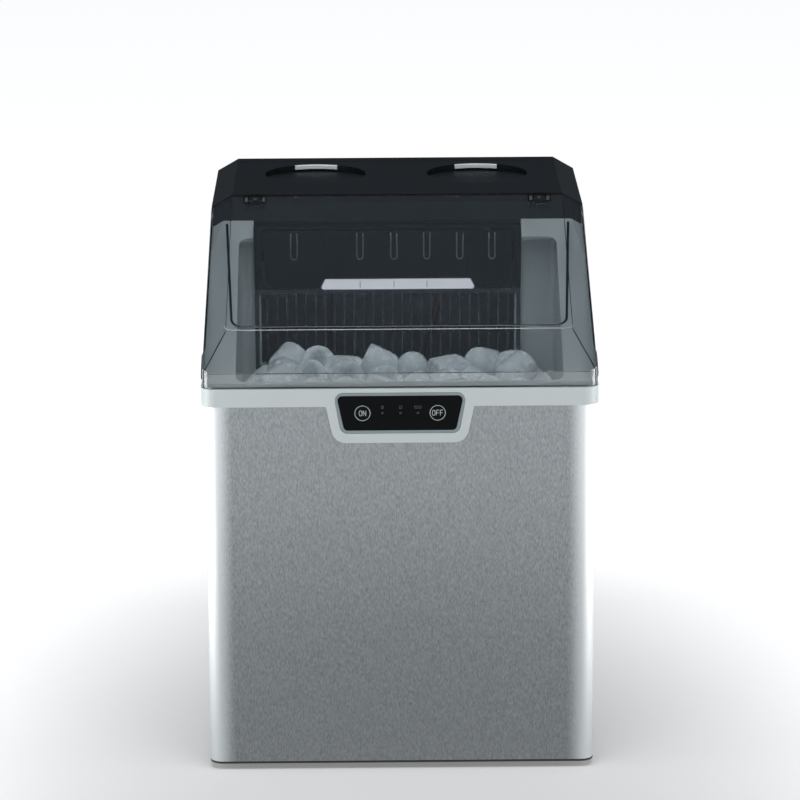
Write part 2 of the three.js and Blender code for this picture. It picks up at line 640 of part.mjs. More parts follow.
function levelFloat() {
  const at = [FLOAT.x, FLOAT.y];
  return cut(rod("z", at, 11, 145, 158, 16), rod("z", at, 3.5, 140, 165, 12));
}

// ---------------------------------------------------------------- cooling

function compressor() {
  const { x, y, radius } = COMPRESSOR;
  const profile = [
    [0, 24], [radius - 10, 24], [radius, 34], [radius, 120], [radius - 8, 142], [radius - 30, 152], [0, 154],
  ];
  const plate = block(around(x, 62), around(y, 44), [20, 24.5]);
  const terminals = block([x + radius - 6, x + radius + 14], around(y, 16), [70, 110]);
  const holes = mountPlaces().map((at) => rod("z", at, 4.4, 10, 30, 10));
  return cut(join(turned([x, y], profile, 28), plate, terminals), ...holes);
}

const mountPlaces = () =>
  [[-54, -36], [54, -36], [-54, 36], [54, 36]].map(([x, y]) => [COMPRESSOR.x + x, COMPRESSOR.y + y]);

const mount = (at) => turned(at, [[0, 9.8], [8, 9.8], [8, 19.7], [4, 19.7], [4, 27], [0, 27]], 12);

// A slab with upright fins on its front and back.
function condenser() {
  const { left, right, fins, fin, bottom, top } = CONDENSER;
  const pitch = (right - left) / fins;
  const back = [];
  const front = [];
  for (let i = 0; i < fins; i += 1) {
    const x = left + i * pitch;
    front.push([x, 60], [x + fin, 60], [x + fin, 72], [x + pitch, 72]);
    back.unshift([x + pitch, 84], [x + fin, 84], [x + fin, 96], [x, 96]);
  }
  front.push([right, 60], [right + 2, 60]);
  back.unshift([right + 2, 96], [right, 96]);
  return prism("z", [...front, ...back], bottom, top);
}

function fanShroud() {
  const { x, z, radius } = FAN;
  const plate = block(around(x, radius + 10), [99, 122], around(z, radius + 10));
  const open = cut(plate, rod("y", [x, z], radius, 90, 130, 28));
  const arms = [0, 1, 2].map((i) => strut((i * 2 * Math.PI) / 3 + Math.PI / 6));
  return join(open, ...arms, rod("y", [x, z], 18, 116.5, 122, 16));
}

// An arm of the shroud that holds the motor's seat.
function strut(angle) {
  const geometry = new THREE.BoxGeometry(FAN.radius, 5, 6).translate(FAN.radius / 2 + 3, 0, 0);
  geometry.rotateY(-angle).translate(FAN.x, 119, FAN.z);
  return toSolid(geometry);
}

const fanMotor = () =>
  join(rod("y", [FAN.x, FAN.z], 22, 122.3, 150, 16), block(around(FAN.x, 8), [148, 156], around(FAN.z, 8)));

function fanBlade() {
  const { x, z, radius, blades } = FAN;
  const reach = radius - 16;
  const pitched = Array.from({ length: blades }, (_, i) => {
    const geometry = new THREE.BoxGeometry(reach, 1.8, 30).translate(reach / 2 + 12, 0, 0);
    geometry.rotateX(0.5).rotateY((i * 2 * Math.PI) / blades).translate(x, 107, z);
    return toSolid(geometry);
  });
  return join(rod("y", [x, z], 16, 99.5, 115.5, 16), ...pitched);
}

const filterDrier = () =>
  turned([0, 30], [[0, 40], [3, 40], [3, 46], [10, 52], [10, 96], [3, 104], [3, 110], [0, 110]], 14);

const suctionLine = () =>
  tube(
    [
      [-60, 112.4, 472], [-60, 120, 472], [-61, 142, 452], [-66, 158, 330], [-66, 150, 240],
      [-70, 108, 190], [-70, 95, 165], [-70, 95, 154.4],
    ],
    PIPE,
    28,
  );

const liquidLine = () =>
  tube(
    [
      [60, 112.4, 472], [60, 120, 472], [58, 142, 450], [30, 150, 320], [6, 120, 210],
      [0, 50, 150], [0, 30, 122], [0, 30, 110.4],
    ],
    PIPE,
    28,
  );

const hotGasValve = () => join(block([-16, 10], [60, 86], [205, 222]), rod("z", [-3, 73], 11, 221, 246, 14));

const dischargeLine = () =>
  tube(
    [[-16.4, 73, 214], [-23, 73, 214], [-42, 84, 204], [-50, 92, 180], [-50, 92, 166], [-50, 92, 154.4]],
    PIPE,
    16,
  );

const chassis = () =>
  join(
    block([-178.5, 178.5], [-198, 14], [124, 126]),
    ...[-177.5, 177.5].map((x) => block(around(x, 1), [-190, 14], [9.8, 125])),
  );

function powerInlet() {
  const flange = block(around(INLET.x, 17), [201.6, 203.8], around(INLET.z, 14.5));
  const body = block(around(INLET.x, 13.5), [176, 203], around(INLET.z, 11));
  const socket = block(around(INLET.x, 11), [184, 210], around(INLET.z, 8));
  const pins = [-6, 0, 6].map((dx) => block(around(INLET.x + dx, 1), [183, 200], around(INLET.z, 2.5)));
  return join(cut(join(flange, body), socket), ...pins);
}

// ---------------------------------------------------------------- materials and assembly

const material = (color, roughness, metalness = 0, extra = {}) =>
  new THREE.MeshStandardMaterial({ color, roughness, metalness, ...extra });

const LOOK = {
  steel: material(0x9da3a5, 0.38, 1),
  zinc: material(0xa4a8aa, 0.5, 0.9),
  white: material(0xc8d2d0, 0.45),
  liner: material(0xd6dad9, 0.5),
  black: material(0x1c1e1f, 0.42),
  bezel: material(0x8c969b, 0.35, 0.5),
  glass: material(0x0e1112, 0.12),
  tinted: material(0x1c2a38, 0.08, 0, { transparent: true, opacity: 0.5 }),
  pale: material(0xbcc1c3, 0.3),
  rubber: material(0x1a1a1a, 0.85),
  copper: material(0xb46a45, 0.35, 1),
  board: material(0x1f5a3a, 0.6),
  foam: material(0xe6e0c8, 0.9),
  silicone: material(0xd9dcdc, 0.6),
};

const iceMaker = new THREE.Group();

function add(name, solid, look) {
  const mesh = new THREE.Mesh(toGeometry(solid), look);
  mesh.name = name;
  iceMaker.add(mesh);
}

add("steel_wrap", steelWrap(), LOOK.steel);
add("rear_panel", rearPanel(), LOOK.zinc);
add("base_pan", basePan(), LOOK.black);
["front_left", "front_right", "rear_left", "rear_right"].forEach((place, i) => {
  add(`foot_${place}`, foot(footPlaces()[i]), LOOK.rubber);
  add(`compressor_mount_${place}`, mount(mountPlaces()[i]), LOOK.rubber);
  add(`rear_screw_${i + 1}`, rearScrew(SCREWS[i]), LOOK.zinc);
});
add("top_frame", topFrame(), LOOK.white);
add("control_bezel", controlBezel(), LOOK.bezel);
add("control_panel", controlPanel(), LOOK.glass);
add("on_button", button(-1), LOOK.glass);
add("off_button", button(1), LOOK.glass);
for (const [name, x] of Object.entries(INDICATORS)) add(`indicator_${name}`, indicator(x), LOOK.pale);
add("control_board", controlBoard(), LOOK.board);
add("front_lid", frontLid(), LOOK.tinted);
add("rear_top_cover", topCover(), LOOK.black);
[["left", -1], ["right", 1]].forEach(([name, s]) => {
  add(`lid_hinge_pin_${name}`, hingePin(s), LOOK.black);
  add(`scoop_insert_${name}`, coverInsert(s), LOOK.pale);
});
add("bin_liner", binLiner(), LOOK.liner);
add("bin_grille", binGrille(), LOOK.black);
add("bin_foam", binFoam(), LOOK.foam);
add("guide_bar", guideBar(), LOOK.pale);
add("chamber_housing", chamberHousing(), LOOK.black);
add("ice_flap", iceFlap(), LOOK.black);
add("evaporator", evaporator(), LOOK.copper);
add("water_tray", waterTray(), LOOK.silicone);
add("tray_motor", trayMotor(), LOOK.black);
add("ice_shovel", iceShovel(), LOOK.black);
add("water_tank", waterTank(), LOOK.silicone);
add("water_pump", waterPump(), LOOK.black);
add("fill_tube", fillTube(), LOOK.silicone);
add("float_stem", floatStem(), LOOK.silicone);
add("level_float", levelFloat(), LOOK.black);
add("drain_hose", drainHose(), LOOK.silicone);
add("drain_spout", drainSpout(), LOOK.silicone);
add("drain_cap", drainCap(), LOOK.rubber);
add("compressor", compressor(), LOOK.black);
add("condenser", condenser(), LOOK.zinc);
add("fan_shroud", fanShroud(), LOOK.black);
add("fan_motor", fanMotor(), LOOK.zinc);
add("fan_blade", fanBlade(), LOOK.black);
add("filter_drier", filterDrier(), LOOK.copper);
add("suction_line", suctionLine(), LOOK.copper);
add("liquid_line", liquidLine(), LOOK.copper);
add("discharge_line", dischargeLine(), LOOK.copper);
add("hot_gas_valve", hotGasValve(), LOOK.zinc);
add("chassis", chassis(), LOOK.zinc);
add("power_inlet", powerInlet(), LOOK.black);

export default iceMaker;
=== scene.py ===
"""The looks of the ice maker: materials, fine edges, ice, marks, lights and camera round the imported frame."""
import json
import math
import random

import bmesh
import bpy
from mathutils import Euler, Matrix, Vector


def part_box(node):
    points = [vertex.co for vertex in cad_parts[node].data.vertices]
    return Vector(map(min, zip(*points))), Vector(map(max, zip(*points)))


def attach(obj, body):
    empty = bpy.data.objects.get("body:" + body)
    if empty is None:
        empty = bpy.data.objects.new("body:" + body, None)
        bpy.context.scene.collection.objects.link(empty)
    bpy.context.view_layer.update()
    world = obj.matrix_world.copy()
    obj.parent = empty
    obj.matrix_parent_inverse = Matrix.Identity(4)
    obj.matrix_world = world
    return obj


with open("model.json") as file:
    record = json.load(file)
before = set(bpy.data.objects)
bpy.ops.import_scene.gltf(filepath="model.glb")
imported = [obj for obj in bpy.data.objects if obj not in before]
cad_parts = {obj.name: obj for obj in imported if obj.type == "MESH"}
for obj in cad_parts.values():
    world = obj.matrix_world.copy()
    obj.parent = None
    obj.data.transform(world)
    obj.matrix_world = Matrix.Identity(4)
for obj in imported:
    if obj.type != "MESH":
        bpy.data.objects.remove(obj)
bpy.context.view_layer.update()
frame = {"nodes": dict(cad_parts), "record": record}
nodes = frame["nodes"]
scene = bpy.context.scene

# ---------------------------------------------------------------- places taken from the frame

STEEL_LOW, STEEL_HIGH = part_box("steel_wrap")
LID_LOW, LID_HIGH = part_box("front_lid")
PANEL_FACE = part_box("control_panel")[0].y
LINER_LOW, LINER_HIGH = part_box("bin_liner")
X, Y, Z = Vector((1, 0, 0)), Vector((0, 1, 0)), Vector((0, 0, 1))
FRONT = -Y
SIDES = (("left", -1), ("right", 1))


def middle(node):
    low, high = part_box(node)
    return (low + high) / 2


# ---------------------------------------------------------------- driving dimensions, in metres and degrees

PITCH = 14.4  # degrees the camera looks down
YAW = 0.45  # degrees the camera stands to the viewer's left of the middle
ROLL = -0.3  # degrees the camera leans
LENS = 177.75  # mm
SENSOR = 36  # mm
TARGET_DISTANCE = 3.687
TARGET_DROP = -0.0056  # the target's height above the camera's axis

EDGE = 0.0006  # the usual rounding of a moulded edge
EDGES = {
    "front_lid": 0.0016, "rear_top_cover": 0.0016, "top_frame": 0.0012, "steel_wrap": 0.0002,
    "rear_panel": 0.0002, "chassis": 0.0003, "control_panel": 0.0003, "control_bezel": 0.0004,
    "on_button": 0.0003, "off_button": 0.0003, "fan_blade": 0.0004, "bin_grille": 0.0005,
}
EDGE_ANGLE = 24  # a corner sharper than this is rounded

BEND_START, BEND_END = 0.156, 0.179  # where the painted highlight on the folded corners starts and is full
FRONT_END = (-0.188, -0.197)  # the painted highlight starts at the first depth, and is full at the second

PRINT = 0.00006  # how far a printed mark stands proud
RING = {"inset": 0.0006, "line": 0.0006}  # the ring round each key
LETTER = {"width": 0.0026, "height": 0.0052, "pitch": 0.0037, "line": 0.0006}
ICON_RISE = 0.0056  # an icon's height above its lamp
ICON_LINE = 0.0004
# the icons' sizes, and half the gap between the two small cubes
DROP_SIZE, CUBE_SIZE, PAIR_SIZE, PAIR_GAP = 0.0011, 0.0012, 0.0011, 0.0018

PANEL_SLOPE = 26  # the slope of the lid's upper panel
CREASE_BACK = 0.0393  # how far the lid's crease lies behind its front
LINE = {  # the embossed line: its ends above the crease, its half widths there, its corners and its section
    "foot": 0.0055, "reach": 0.163, "low": 0.158, "high": 0.1655, "corner": 0.012,
    "width": 0.0024, "rise": 0.0004,
}
# the crease's painted highlight: three points of its right end, as half width and height above the crease
CREASE = {"ends": ((0.1645, 0.008), (0.1628, 0.003), (0.158, 0.0008)), "width": 0.001, "rise": 0.0003}
MARK_LIFT = 0.0001  # a line's clearance from the face it lies on
LID_SIDE = ((0.1842, -0.1965, 0.3765), (0.1841, -0.1965, 0.390))  # the foot of the lid's side edge
LID_CORNER = (0.0021, 0.009, 0.394)  # the front corner: in from the side, back from the front, and its height
LID_CREST = (0.18186, 0.0195, 0.5003)  # the top of the side edge
LID_EDGE = {"width": 0.0034, "rise": 0.0002, "lean": (0.8, -0.6, 0)}  # lean: which way the right edge faces
LID_HEM = {"half": 0.1755, "up": 0.0006, "width": 0.0012}  # the line along the skirt's lower edge
# a sleeve round each hinge barrel: an open tube, whose arc runs in degrees from the front up and over
SLEEVE = {"radii": (0.0041, 0.0044), "half": 0.0059, "start": -70, "end": 190, "steps": 20}
GRIP = {"x": 0.1855, "ends": ((-0.1865, 0.3840), (-0.1615, 0.3958)), "width": 0.0048, "rise": 0.0005}

# the flap's ribs; the middle ones line up with the grooves of the guide bar
RIB_X = (-0.101, -0.0368, -0.0037, 0.0284, 0.0606, 0.0918)
RIB = {"half": 0.0030, "foot": 0.4575, "top": 0.002, "line": 0.0018, "rise": 0.0006, "inner_step": 0.0008}
GROOVE_X = RIB_X[1:4]
GROOVE_LINE = {"margin": 0.0018, "width": 0.0008, "rise": 0.0001}
BAR_RIM = {"inset": 0.003, "up": 0.0008, "width": 0.0014, "rise": 0.0002}

ICE_PROFILE = [  # radius and height: round nose, straight side, open foot
    (0.0000, 0.0140), (0.0050, 0.0132), (0.0090, 0.0105), (0.0115, 0.0060), (0.0121, 0.0),
    (0.0122, -0.0130), (0.0114, -0.0142), (0.0072, -0.0138), (0.0058, -0.0115),
    (0.0050, 0.0020), (0.0, 0.0050),
]
ICE_SIZE = 1.3  # a bullet's size against that outline
ICE_PITCH = ICE_SIZE * 0.0245  # the room one bullet takes in a row
ICE_LAYERS = ((0.334, 0.004), (0.354, 0.007))  # each layer's height, and how much it varies
ICE_MARGIN = {"side": 0.027, "front": 0.026, "back": 0.035}
ICE_SWELL = 0.006  # the height of the heap's soft waves
ICE_STRAY = 0.004  # how far a bullet lies off its place in the row

FLOOR_SIZE = 14
# the floor is darker in front of the object: a painted shadow, in both its light and its colour
FLOOR_GLOW = (0.21, 0.85)  # the floor's own light in front of the object, and round it
FLOOR_TONE = (0.42, 0.55)  # and its paleness, lower in front as a painted shadow
SHADOW_CENTRE = (0.0, -0.40)  # the middle of the painted shadow in front
SHADOW_REACH = (0.2, 1.25)  # how far from that middle the painted shadow starts and stops fading
SHADOW_WIDTH = 0.75  # the painted shadow's width against its length
SKY_LOW, SKY_HIGH = 0.09, 0.30  # the studio's light at the horizon, and overhead
SKY_RISE = (0.4, 0.95)  # the heights between which it brightens

# ---------------------------------------------------------------- camera


def add_camera():
    data = bpy.data.cameras.new("camera")
    data.lens = LENS
    data.sensor_width = SENSOR
    data.clip_end = 100
    camera = bpy.data.objects.new("camera", data)
    scene.collection.objects.link(camera)
    target = Vector((0, STEEL_LOW.y, STEEL_HIGH.z))
    turn = Euler((math.radians(90 - PITCH), 0, math.radians(-YAW))).to_matrix()
    tilt = Matrix.Rotation(math.radians(ROLL), 3, "Z")
    offset = Vector((0, TARGET_DROP, -TARGET_DISTANCE))
    camera.location = target - turn @ offset
    camera.rotation_euler = (turn @ tilt).to_euler()
    scene.camera = camera


add_camera()

# ---------------------------------------------------------------- materials


class Nodes:
    """A short way to write a material's node tree."""

    def __init__(self, name, **sockets):
        self.material = bpy.data.materials.new(name)
        self.material.use_nodes = True
        self.tree = self.material.node_tree
        self.shader = self.tree.nodes["Principled BSDF"]
        for socket, value in sockets.items():
            self.shader.inputs[socket].default_value = value

    def make(self, kind, **settings):
        node = self.tree.nodes.new(kind)
        for key, value in settings.items():
            if hasattr(node, key):
                setattr(node, key, value)
            else:
                node.inputs[key].default_value = value
        return node

    def link(self, source, target):
        self.tree.links.new(source, target)

    def noise(self, scale, stretch=(1, 1, 1), detail=3.0, roughness=0.55):
        """Noise in the object's own coordinates, in cycles per metre."""
        place = self.make("ShaderNodeTexCoord")
        mapping = self.make("ShaderNodeMapping")
        mapping.inputs["Scale"].default_value = stretch
        noise = self.make("ShaderNodeTexNoise", Scale=scale, Detail=detail, Roughness=roughness)
        self.link(place.outputs["Object"], mapping.inputs["Vector"])
        self.link(mapping.outputs["Vector"], noise.inputs["Vector"])
        return noise.outputs["Fac"]

    def ramp(self, value, low, high, start=0.3, end=0.7):
        ramp = self.make("ShaderNodeValToRGB")
        ramp.color_ramp.elements[0].position = start
        ramp.color_ramp.elements[0].color = (*low, 1)
        ramp.color_ramp.elements[1].position = end
        ramp.color_ramp.elements[1].color = (*high, 1)
        self.link(value, ramp.inputs["Fac"])
        return ramp.outputs["Color"]

    def fade(self, value, start, end, low=0.0, high=1.0):
        """A smooth change from low to high as value goes from start to end."""
        node = self.make("ShaderNodeMapRange", interpolation_type="SMOOTHSTEP")
        node.inputs["From Min"].default_value = start
        node.inputs["From Max"].default_value = end
        node.inputs["To Min"].default_value = low
        node.inputs["To Max"].default_value = high
        self.link(value, node.inputs["Value"])
        return node.outputs["Result"]

    def spread(self, value, low, high):
        """Maps 0..1 to low..high."""
        node = self.make("ShaderNodeMapRange")
        node.inputs["To Min"].default_value = low
        node.inputs["To Max"].default_value = high
        self.link(value, node.inputs["Value"])
        return node.outputs["Result"]

    def bump(self, value, strength, distance):
        node = self.make("ShaderNodeBump")
        node.inputs["Strength"].default_value = strength
        node.inputs["Distance"].default_value = distance
        self.link(value, node.inputs["Height"])
        self.link(node.outputs["Normal"], self.shader.inputs["Normal"])


def moulded(name, colour, roughness, grain=900.0, depth=0.00004, vary=0.06, **sockets):
    """A plastic or rubber moulding: fine grain, slight colour drift and uneven gloss."""
    made = Nodes(name, **sockets)
    drift = made.noise(14.0, detail=2.0)
    dark = [c * (1 - vary) for c in colour]
    light = [min(1.0, c * (1 + vary)) for c in colour]
    made.link(made.ramp(drift, dark, light), made.shader.inputs["Base Color"])
    fine = made.noise(grain, detail=2.0)
    made.link(made.spread(fine, roughness * 0.88, min(1, roughness * 1.12)), made.shader.inputs["Roughness"])
    made.bump(fine, 0.25, depth)
    return made.material


def brushed(name, colour, roughness, along=(1, 1, 0.3), scale=850.0, contrast=0.16, bends=False, **sockets):
    """Metal with a brushed grain, long in one direction."""
    made = Nodes(name, **{"Metallic": 1.0, **sockets})
    streaks = made.noise(scale, stretch=along, detail=4.0, roughness=0.65)
    low = [c * (1 - contrast) for c in colour]
    high = [min(1.0, c * (1 + contrast)) for c in colour]
    made.link(made.ramp(streaks, low, high, 0.32, 0.68), made.shader.inputs["Base Color"])
    made.link(made.spread(streaks, roughness * 0.8, roughness * 1.2), made.shader.inputs["Roughness"])
    made.bump(streaks, 0.12, 0.00003)
    # a painted highlight on the front corners
    if bends:
        paint_bend_highlight(made)
    return made.material


# the colour of the painted highlight on the steel's front corners
BEND_HIGHLIGHT_TONE = (0.74, 0.77, 0.78, 1)


def paint_bend_highlight(made):
    """A painted highlight: a lighter tone of the steel along its front corners, standing in for the glint of a
    bend.
    """
    place = made.make("ShaderNodeTexCoord")
    split = made.make("ShaderNodeSeparateXYZ")
    made.link(place.outputs["Object"], split.inputs["Vector"])
    across = made.make("ShaderNodeMath", operation="ABSOLUTE")
    made.link(split.outputs["X"], across.inputs[0])
    amount = made.make("ShaderNodeMath", operation="MULTIPLY")
    made.link(made.fade(across.outputs["Value"], BEND_START, BEND_END), amount.inputs[0])
    made.link(made.fade(split.outputs["Y"], *FRONT_END), amount.inputs[1])
    mix = made.make("ShaderNodeMix", data_type="RGBA")
    colours = [socket for socket in mix.inputs if socket.type == "RGBA"]
    mixed = [socket for socket in mix.outputs if socket.type == "RGBA"]
    plain = made.shader.inputs["Base Color"].links[0].from_socket
    made.link(amount.outputs["Value"], mix.inputs["Factor"])
    made.link(plain, colours[0])
    colours[1].default_value = BEND_HIGHLIGHT_TONE
    made.link(mixed[0], made.shader.inputs["Base Color"])


def clear(name, tint, absorb, density, roughness):
    """A clear moulding, tinted in its depth, with faint clouding and uneven gloss."""
    made = Nodes(name, **{"Transmission Weight": 1.0, "IOR": 1.47})
    volume = made.make("ShaderNodeVolumeAbsorption")
    volume.inputs["Color"].default_value = (*absorb, 1)
    volume.inputs["Density"].default_value = density
    made.link(volume.outputs["Volume"], made.tree.nodes["Material Output"].inputs["Volume"])
    cloud = made.noise(30.0, detail=2.0)
    dark = [c * 0.985 for c in tint]
    made.link(made.ramp(cloud, dark, tint), made.shader.inputs["Base Color"])
    fine = made.noise(260.0, detail=2.0)
    made.link(made.spread(fine, roughness * 0.7, roughness * 1.3), made.shader.inputs["Roughness"])
    return made.material


LOOKS = {
    # the steel carries a painted highlight on its front corners
    "steel": brushed("brushed_steel", (0.245, 0.262, 0.27), 0.36, contrast=0.27, bends=True,
                     Anisotropic=0.75),
    "zinc": brushed("galvanised", (0.42, 0.43, 0.44), 0.45, along=(1, 1, 1), scale=120.0, contrast=0.1),
    "white": moulded("white_moulding", (0.475, 0.515, 0.51), 0.42, vary=0.015,
                     **{"Specular IOR Level": 0.45}),
    "liner": moulded("liner_moulding", (0.62, 0.66, 0.66), 0.4, vary=0.02),
    "black": moulded("black_moulding", (0.0060, 0.0068, 0.0076), 0.45, grain=1400.0, depth=0.00005,
                    **{"Specular IOR Level": 0.22}),
    "base": moulded("base_moulding", (0.02, 0.02, 0.02), 0.55),
    "bezel": moulded("bezel_paint", (0.21, 0.25, 0.27), 0.35, grain=2500.0, depth=0.00001, Metallic=0.4),
    "panel_glass": moulded("panel_overlay", (0.0025, 0.0032, 0.0035), 0.22, grain=500.0, depth=0.000005,
                          **{"Specular IOR Level": 0.05}),
    "tinted": clear("smoke_blue_clear", (0.98, 0.985, 0.99), (0.31, 0.37, 0.41), 150.0, 0.02),
    "pale": moulded("pale_gloss", (0.72, 0.75, 0.77), 0.2, grain=400.0, depth=0.00001, vary=0.02),
    "comb": moulded("comb_moulding", (0.050, 0.060, 0.073), 0.35, grain=900.0, depth=0.00003),
    # the guide bar's emission is a painted glow: it is no lamp, and the glow stands in for light reaching it
    # through the lid
    "guide": moulded("guide_painted_glow", (0.80, 0.80, 0.81), 0.25, grain=400.0, depth=0.00001, vary=0.03,
                     **{"Emission Color": (0.92, 0.93, 1.0, 1), "Emission Strength": 0.46}),
    "rubber": moulded("moulded_rubber", (0.02, 0.02, 0.021), 0.75, grain=700.0, depth=0.0001),
    "copper": brushed("copper_tube", (0.62, 0.30, 0.18), 0.3, along=(1, 1, 1), scale=90.0, contrast=0.12),
    "board": moulded("circuit_board", (0.02, 0.13, 0.05), 0.4, grain=300.0),
    "foam": moulded("cut_foam", (0.72, 0.66, 0.50), 0.9, grain=220.0, depth=0.0008, vary=0.08),
    "silicone": moulded("silicone_tube", (0.62, 0.65, 0.66), 0.4, **{"Transmission Weight": 0.3}),
    "natural": moulded("natural_moulding", (0.62, 0.65, 0.66), 0.4, **{"Transmission Weight": 0.15}),
    "aluminium": brushed("aluminium_fins", (0.60, 0.61, 0.62), 0.35, contrast=0.08),
    "iron": moulded("black_enamel", (0.014, 0.014, 0.015), 0.3, grain=60.0, depth=0.0002),
}
LOOK_OF = {"guide_bar": "guide", "bin_grille": "comb"}  # nodes whose look differs from the rest of their slot
SLOT_OF = {row["node"]: row["material_slot"] for row in frame["record"]["subparts"]}

# ---------------------------------------------------------------- the carried-over CAD pieces


def refine(node):
    """Smooth shading and rounded edges on a CAD node, and its procedural material."""
    o = nodes[node]
    o.data.materials.clear()
    o.data.materials.append(LOOKS[LOOK_OF.get(node, SLOT_OF[node])])
    o.data.shade_smooth()
    weld = o.modifiers.new("weld", "WELD")
    weld.merge_threshold = 0.00001
    flat = o.modifiers.new("flat", "DECIMATE")
    flat.decimate_type = "DISSOLVE"
    flat.angle_limit = math.radians(0.5)
    bevel = o.modifiers.new("edge", "BEVEL")
    bevel.width = EDGES.get(node, EDGE)
    bevel.segments = 3
    bevel.limit_method = "ANGLE"
    bevel.angle_limit = math.radians(EDGE_ANGLE)
    bevel.use_clamp_overlap = True
    bevel.harden_normals = True
    o.modifiers.new("normals", "WEIGHTED_NORMAL").keep_sharp = True


for name in nodes:
    refine(name)

# ---------------------------------------------------------------- small mesh tools


def piece(name, verts, faces, look, body):
    """A new mesh object that rides on a body."""
    mesh = bpy.data.meshes.new(name)
    mesh.from_pydata(verts, [], faces)
    mesh.validate()
    mesh.materials.append(look)
    o = bpy.data.objects.new(name, mesh)
    scene.collection.objects.link(o)
    bm = bmesh.new()
    bm.from_mesh(mesh)
    bmesh.ops.remove_doubles(bm, verts=bm.verts, dist=1e-6)
    bmesh.ops.recalc_face_normals(bm, faces=bm.faces)
    bm.to_mesh(mesh)
    bm.free()
    mesh.shade_smooth()
    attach(o, body)


def swept(points, normal, half_width, height, closed=False):
    """A low rounded bead that follows points on a surface with that normal; returns verts and faces."""
    verts, faces = [], []
    count = len(points)
    section = [(-1.0, -0.6), (-0.75, 0.45), (0.0, 1.0), (0.75, 0.45), (1.0, -0.6)]
    for i, point in enumerate(points):
        before = points[i - 1] if (i or closed) else point
        after = points[(i + 1) % count] if (i < count - 1 or closed) else point
        along = (after - before).normalized()
        across = along.cross(normal).normalized()
        for u, v in section:
            verts.append(point + across * (u * half_width) + normal * (v * height))
    size = len(section)
    for i in range(count if closed else count - 1):
        a, b = i * size, ((i + 1) % count) * size
        for k in range(size):
            n = (k + 1) % size
            faces.append((a + k, b + k, b + n, a + n))
    if not closed:
        faces.append(tuple(range(size)))
        faces.append(tuple(reversed(range((count - 1) * size, count * size))))
    return verts, faces


def arc(centre, radius, start, end, steps, right, up):
    """Points on an arc; angles in degrees, counter-clockwise from right towards up."""
    points = []
    for i in range(steps + 1):
        angle = math.radians(start + (end - start) * i / steps)
        points.append(centre + right * (radius * math.cos(angle)) + up * (radius * math.sin(angle)))
    return points


# ---------------------------------------------------------------- marks on the control panel

MARK = moulded("printed_mark", (0.42, 0.46, 0.48), 0.4, grain=2000.0, depth=0.000002)
LAMP_RED = moulded("lamp_red", (0.035, 0.010, 0.010), 0.3)
LAMP_GREEN = moulded("lamp_green", (0.010, 0.026, 0.018), 0.3)
FAINT = moulded("faint_mark", (0.10, 0.11, 0.115), 0.4, grain=2000.0, depth=0.000002)


def stroke(name, points, width, body, closed=False, look=MARK):
    """A printed line on a face that looks to the front."""
    verts, faces = swept(points, FRONT, width / 2, PRINT, closed)
    piece(name, verts, faces, look, body)


def letter_paths(letter, width, height):
    """The strokes of a capital letter, as (x, z) paths round its middle, with True where a path closes."""
    w, h = width / 2, height / 2
    if letter == "O":
        oval = [(w * math.sin(math.radians(15 * i)), h * math.cos(math.radians(15 * i))) for i in range(24)]
        return [(oval, True)]
    if letter == "N":
        return [([(-w, -h), (-w, h)], False), ([(-w, h), (w, -h)], False), ([(w, -h), (w, h)], False)]
    return [([(w, h), (-w, h)], False), ([(-w, h), (-w, -h)], False), ([(-w, 0), (w * 0.7, 0)], False)]


def write(name, word, centre, body):
    """A short word, centred on a point."""
    for i, letter in enumerate(word):
        middle_x = (i - (len(word) - 1) / 2) * LETTER["pitch"]
        for k, (path, closed) in enumerate(letter_paths(letter, LETTER["width"], LETTER["height"])):
            points = [centre + X * (middle_x + u) + Z * v for u, v in path]
            stroke(f"{name}_letter_{i + 1}_{k + 1}", points, LETTER["line"], body, closed)


def key_marks(node, body, word):
    """The ring and the word on a key."""
    low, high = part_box(node)
    centre = Vector(((low.x + high.x) / 2, low.y, (low.z + high.z) / 2))
    radius = (high.x - low.x) / 2 - RING["inset"]
    stroke(f"{node}_ring", arc(centre, radius, 0, 354, 59, X, Z), RING["line"], body, True)
    write(node, word, centre, body)


key_marks("on_button", "on_key", "ON")
key_marks("off_button", "off_key", "OFF")


def droplet(centre, size):
    """A water drop outline."""
    return [centre + Z * size * 1.5] + arc(centre, size, 20, -200, 22, X, Z)


def cube_mark(centre, size):
    """A square outline, for a cube of ice."""
    return [centre + X * (s * size) + Z * (t * size) for s, t in ((-1, -1), (1, -1), (1, 1), (-1, 1))]


def legends():
    """The lamps' own colours, and an icon over each lamp."""
    for name, look, outline in (
        ("water", LAMP_RED, lambda c: [droplet(c, DROP_SIZE)]),
        ("ice", LAMP_GREEN, lambda c: [cube_mark(c, CUBE_SIZE)]),
        ("full", LAMP_RED, lambda c: [cube_mark(c + X * (s * PAIR_GAP), PAIR_SIZE) for s in (-1, 1)]),
    ):
        nodes[f"indicator_{name}"].data.materials.clear()
        nodes[f"indicator_{name}"].data.materials.append(look)
        at = middle(f"indicator_{name}")
        for i, points in enumerate(outline(Vector((at.x, PANEL_FACE, at.z + ICON_RISE)))):
            stroke(f"mark_{name}_{i + 1}", points, ICON_LINE, "root", True, FAINT)


legends()

# ---------------------------------------------------------------- the lid's embossed line

# painted highlight: a pale line standing in for the light caught along the lid's crease
PAINTED_CREASE_HIGHLIGHT = moulded("lid_crease", (0.42, 0.45, 0.47), 0.15, grain=300.0, depth=0.00001)
# painted shade: a near-black blue for the dark look of the lid's embossed line and cut edges, which comes from
# light passing through the tinted plastic
LID_SHADE = moulded("lid_painted_shade", (0.004, 0.008, 0.014), 0.2, grain=300.0, depth=0.00001)


